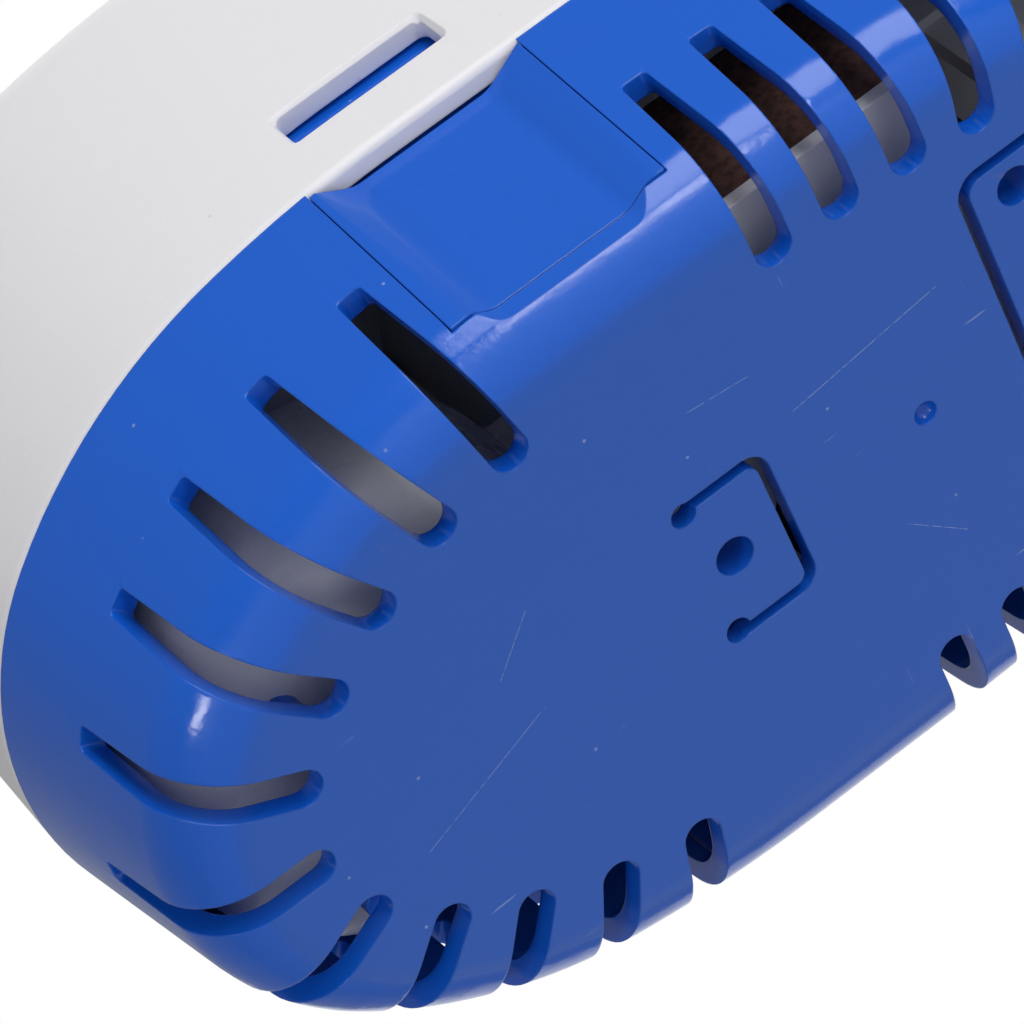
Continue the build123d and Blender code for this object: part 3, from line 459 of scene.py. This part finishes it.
def moulding(looks, node, edge, segments=2):
    """A merged copy of a CAD node with its corners rounded, standing for that node."""
    source = frame["nodes"][node]
    piece = source.copy()
    piece.data = source.data.copy()
    piece.name = node + "_finished"
    piece.parent = None
    for key in list(piece.keys()):
        del piece[key]
    bpy.context.scene.collection.objects.link(piece)
    alone(piece)
    bpy.ops.object.mode_set(mode="EDIT")
    bpy.ops.mesh.select_all(action="SELECT")
    bpy.ops.mesh.remove_doubles(threshold=MERGE_GAP)
    bpy.ops.mesh.customdata_custom_splitnormals_clear()
    bpy.ops.mesh.dissolve_limited(angle_limit=FLAT_ANGLE, use_dissolve_boundaries=False)
    bpy.ops.object.mode_set(mode="OBJECT")
    apply(piece, "BEVEL", width=edge, segments=segments, limit_method="ANGLE",
          angle_limit=BEVEL_ANGLE, use_clamp_overlap=True, miter_outer="MITER_ARC")
    apply(piece, "TRIANGULATE")
    bpy.ops.object.shade_smooth_by_angle(angle=SMOOTH_ANGLE)
    apply(piece, "WEIGHTED_NORMAL", keep_sharp=True)
    paint(piece, looks, SLOTS[node])
    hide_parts(node)
    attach(piece, BODY_OF[node])


# ---------------------------------------------------------------- settings
def colour_setting(name, description, default):
    """A colour that the user can change."""
    return bpy.props.FloatVectorProperty(name=name, description=description, subtype="COLOR",
                                         size=3, min=0.0, max=1.0, default=default)


def length_setting(name, description, default, **limits):
    """A length that the user can change."""
    return bpy.props.FloatProperty(name=name, description=description, subtype="DISTANCE",
                                   unit="LENGTH", default=default, **limits)


class PumpLooks(bpy.types.PropertyGroup):
    """Colours and edge sizes of the pump."""
    blue: colour_setting("Base blue", "Colour of the strainer base and latch tabs",
                         (0.006, 0.108, 0.60))
    # Painted shade and painted reflection haze: a darker, greyer copy of the base blue for the
    # underside.
    shaded_underside_blue: colour_setting("Underside blue", "Duller blue of the flat underside",
                                   (0.020, 0.098, 0.44))
    white: colour_setting("Housing white", "Colour of the pump housing", (0.80, 0.795, 0.82))
    bowl: colour_setting("Bowl white", "Colour of the pump chamber", (0.90, 0.90, 0.93))
    grey: colour_setting("Tray grey", "Colour of the float tray and switch box", (0.80, 0.79, 0.79))
    foam: colour_setting("Foam brown", "Colour of the float's foam", (0.115, 0.055, 0.042))
    wear: bpy.props.FloatProperty(name="Wear", description="Strength of scratches, dust and specks",
                                  min=0.0, max=2.0, default=1.0)
    edge: length_setting("Moulding edge", "Rounding of moulded edges",
                         0.5 * MM, min=0.0, max=2 * MM)
    corner: length_setting("Corner sheen", "Radius over which light wraps a corner",
                           0.3 * MM, min=0.0, max=2 * MM)


class PumpStage(bpy.types.PropertyGroup):
    """Floor, light and camera."""
    floor_drop: length_setting("Floor drop", "How far the floor lies below the pump", 0.75)
    floor_colour: colour_setting("Floor colour", "Colour of the plain floor", (0.86, 0.86, 0.87))
    room: bpy.props.FloatProperty(name="Room light",
                                  description="Brightness of the surrounding light",
                                  min=0.0, default=0.32)
    key: bpy.props.FloatProperty(name="Key light", description="Power of the large soft light",
                                 subtype="POWER", unit="POWER", min=0.0, default=9.0)


# ---------------------------------------------------------------- stage
def lay_floor(stage, place):
    """A plain pale floor of faintly clouded paper."""
    bpy.ops.object.select_all(action="DESELECT")
    bpy.ops.mesh.primitive_plane_add(size=FLOOR_SIZE, location=place)
    floor = bpy.context.object
    floor.name = "floor"
    plain = Finish("floor_paper")
    fibre = plain.noise(0.04, 4.0)
    colour = stage.floor_colour
    plain.feed("Base Color", plain.mix(fibre * 0.1, colour, tint(colour, 0.97)))
    plain.feed("Roughness", 0.7 + fibre * 0.1)
    floor.data.materials.append(plain.material)


def hang_lights(stage, middle):
    """Soft square lights round the pump, all turned towards its middle."""
    for name, direction, distance, size, share in LIGHTS:
        away = Vector(direction).normalized()
        bpy.ops.object.light_add(type="AREA", location=middle + away * distance)
        light = bpy.context.object
        light.name = name
        light.data.size = size
        light.data.energy = stage.key * share
        light.rotation_euler = away.to_track_quat("Z", "Y").to_euler()


def light_room(scene, stage):
    """Dim even light from all round, behind which the backdrop stays white."""
    world = bpy.data.worlds.new("studio")
    scene.world = world
    world.use_nodes = True
    tree = world.node_tree
    room = tree.nodes["Background"]
    paper = tree.nodes.new("ShaderNodeBackground")
    for background, strength in ((room, stage.room), (paper, 1.0)):
        background.inputs["Color"].default_value = PAPER_WHITE
        background.inputs["Strength"].default_value = strength
    path = tree.nodes.new("ShaderNodeLightPath")
    choose = tree.nodes.new("ShaderNodeMixShader")
    tree.links.new(path.outputs["Is Camera Ray"], choose.inputs[0])
    tree.links.new(room.outputs[0], choose.inputs[1])
    tree.links.new(paper.outputs[0], choose.inputs[2])
    tree.links.new(choose.outputs[0], tree.nodes["World Output"].inputs["Surface"])


def set_camera(scene):
    """The camera, below the pump and beside its narrow end."""
    bpy.ops.object.camera_add()
    camera = bpy.context.object
    camera.name = "camera"
    turn = Matrix((CAMERA_RIGHT, CAMERA_UP, CAMERA_BACK)).transposed().to_4x4()
    camera.matrix_world = Matrix.Translation(CAMERA_PLACE) @ turn
    camera.data.sensor_width = CAMERA_SENSOR
    camera.data.lens = CAMERA_LENS
    camera.data.clip_start = CAMERA_NEAR
    scene.camera = camera


# ---------------------------------------------------------------- operators
class PUMP_OT_stage(bpy.types.Operator):
    """Plain pale floor, soft studio lights and the camera"""
    bl_idname = "pump.stage"
    bl_label = "Stage"

    def execute(self, context):
        stage = context.scene.pump_stage
        low, high = CAD_BOX
        middle = (Vector(low) + Vector(high)) / 2
        lay_floor(stage, (middle.x, middle.y, low[2] - stage.floor_drop))
        hang_lights(stage, middle)
        light_room(context.scene, stage)
        set_camera(context.scene)
        context.scene.view_settings.view_transform = "Standard"
        return {"FINISHED"}


class PUMP_OT_base(bpy.types.Operator):
    """Strainer base and the two latch tabs in its sides"""
    bl_idname = "pump.base"
    bl_label = "Strainer base"

    def execute(self, context):
        looks = context.scene.pump_looks
        moulding(looks, "strainer_base", looks.edge)
        for node in ("latch_tab_neg_y", "latch_tab_pos_y"):
            moulding(looks, node, looks.edge * 0.6)
        return {"FINISHED"}


class PUMP_OT_housing(bpy.types.Operator):
    """White housing with its latch windows, and the motor cap"""
    bl_idname = "pump.housing"
    bl_label = "Housing and cap"

    def execute(self, context):
        looks = context.scene.pump_looks
        moulding(looks, "pump_housing", looks.edge * 1.4)
        moulding(looks, "motor_cap", looks.edge)
        dress(looks, "cap_ring")
        return {"FINISHED"}


class PUMP_OT_chamber(bpy.types.Operator):
    """Pump bowl, its cover, the seal and the impeller"""
    bl_idname = "pump.chamber"
    bl_label = "Pump chamber"

    def execute(self, context):
        looks = context.scene.pump_looks
        for node in ("volute_bowl", "volute_cover", "impeller"):
            moulding(looks, node, looks.edge)
        dress(looks, "shaft_seal")
        return {"FINISHED"}


class PUMP_OT_motor(bpy.types.Operator):
    """Motor can, magnets, armature, brushes and bearings"""
    bl_idname = "pump.motor"
    bl_label = "Motor"

    def execute(self, context):
        looks = context.scene.pump_looks
        moulding(looks, "motor_can", looks.edge * 0.8)
        dress(looks, "motor_isolator", "motor_shaft", "rotor_core", "rotor_windings", "commutator",
              "bush_lower", "bush_upper", "magnet_0", "magnet_1", "end_bell", "brush_0", "brush_1")
        return {"FINISHED"}


class PUMP_OT_outlet(bpy.types.Operator):
    """Elbow, check valve, hose barb, gasket and nut"""
    bl_idname = "pump.outlet"
    bl_label = "Outlet"

    def execute(self, context):
        looks = context.scene.pump_looks
        for node in ("outlet_elbow", "outlet_nozzle", "outlet_nut"):
            moulding(looks, node, looks.edge)
        dress(looks, "elbow_ring", "outlet_gasket", "flap_pin", "check_flap")
        return {"FINISHED"}


class PUMP_OT_float(bpy.types.Operator):
    """Foam float on its tray and pin"""
    bl_idname = "pump.float"
    bl_label = "Float"

    def execute(self, context):
        looks = context.scene.pump_looks
        moulding(looks, "float_foam", looks.edge * 2, 3)
        moulding(looks, "float_tray", looks.edge)
        dress(looks, "float_pin")
        return {"FINISHED"}


class PUMP_OT_switch(bpy.types.Operator):
    """Switch box with its plunger, lever and switch"""
    bl_idname = "pump.switch"
    bl_label = "Float switch"

    def execute(self, context):
        looks = context.scene.pump_looks
        for node in ("switch_box", "switch_lid"):
            moulding(looks, node, looks.edge)
        dress(looks, "plunger_boot", "switch_plunger", "switch_lever", "switch_button",
              "microswitch", "switch_mount")
        return {"FINISHED"}


class PUMP_OT_knob(bpy.types.Operator):
    """Test knob, its shaft and the cable gland"""
    bl_idname = "pump.knob"
    bl_label = "Knob and gland"

    def execute(self, context):
        looks = context.scene.pump_looks
        for node in ("test_knob", "cable_gland", "gland_nut"):
            moulding(looks, node, looks.edge)
        dress(looks, "knob_shaft")
        return {"FINISHED"}


STEPS = (PUMP_OT_stage, PUMP_OT_base, PUMP_OT_housing, PUMP_OT_chamber, PUMP_OT_motor,
         PUMP_OT_outlet, PUMP_OT_float, PUMP_OT_switch, PUMP_OT_knob)


class PUMP_PT_panel(bpy.types.Panel):
    """The pump's steps and settings"""
    bl_idname = "PUMP_PT_panel"
    bl_label = "Bilge Pump"
    bl_space_type = "VIEW_3D"
    bl_region_type = "UI"
    bl_category = "Bilge Pump"

    def draw(self, context):
        for group in (context.scene.pump_looks, context.scene.pump_stage):
            for setting in group.__annotations__:
                self.layout.prop(group, setting)
        for step in STEPS:
            self.layout.operator(step.bl_idname)


CLASSES = (PumpLooks, PumpStage, *STEPS, PUMP_PT_panel)


def register():
    for made in CLASSES:
        bpy.utils.register_class(made)
    bpy.types.Scene.pump_looks = bpy.props.PointerProperty(type=PumpLooks)
    bpy.types.Scene.pump_stage = bpy.props.PointerProperty(type=PumpStage)


def unregister():
    del bpy.types.Scene.pump_stage
    del bpy.types.Scene.pump_looks
    for made in reversed(CLASSES):
        bpy.utils.unregister_class(made)


def main():
    register()
    for step in STEPS:
        area, name = step.bl_idname.split(".")
        getattr(getattr(bpy.ops, area), name)()


if __name__ == "__main__":
    main()
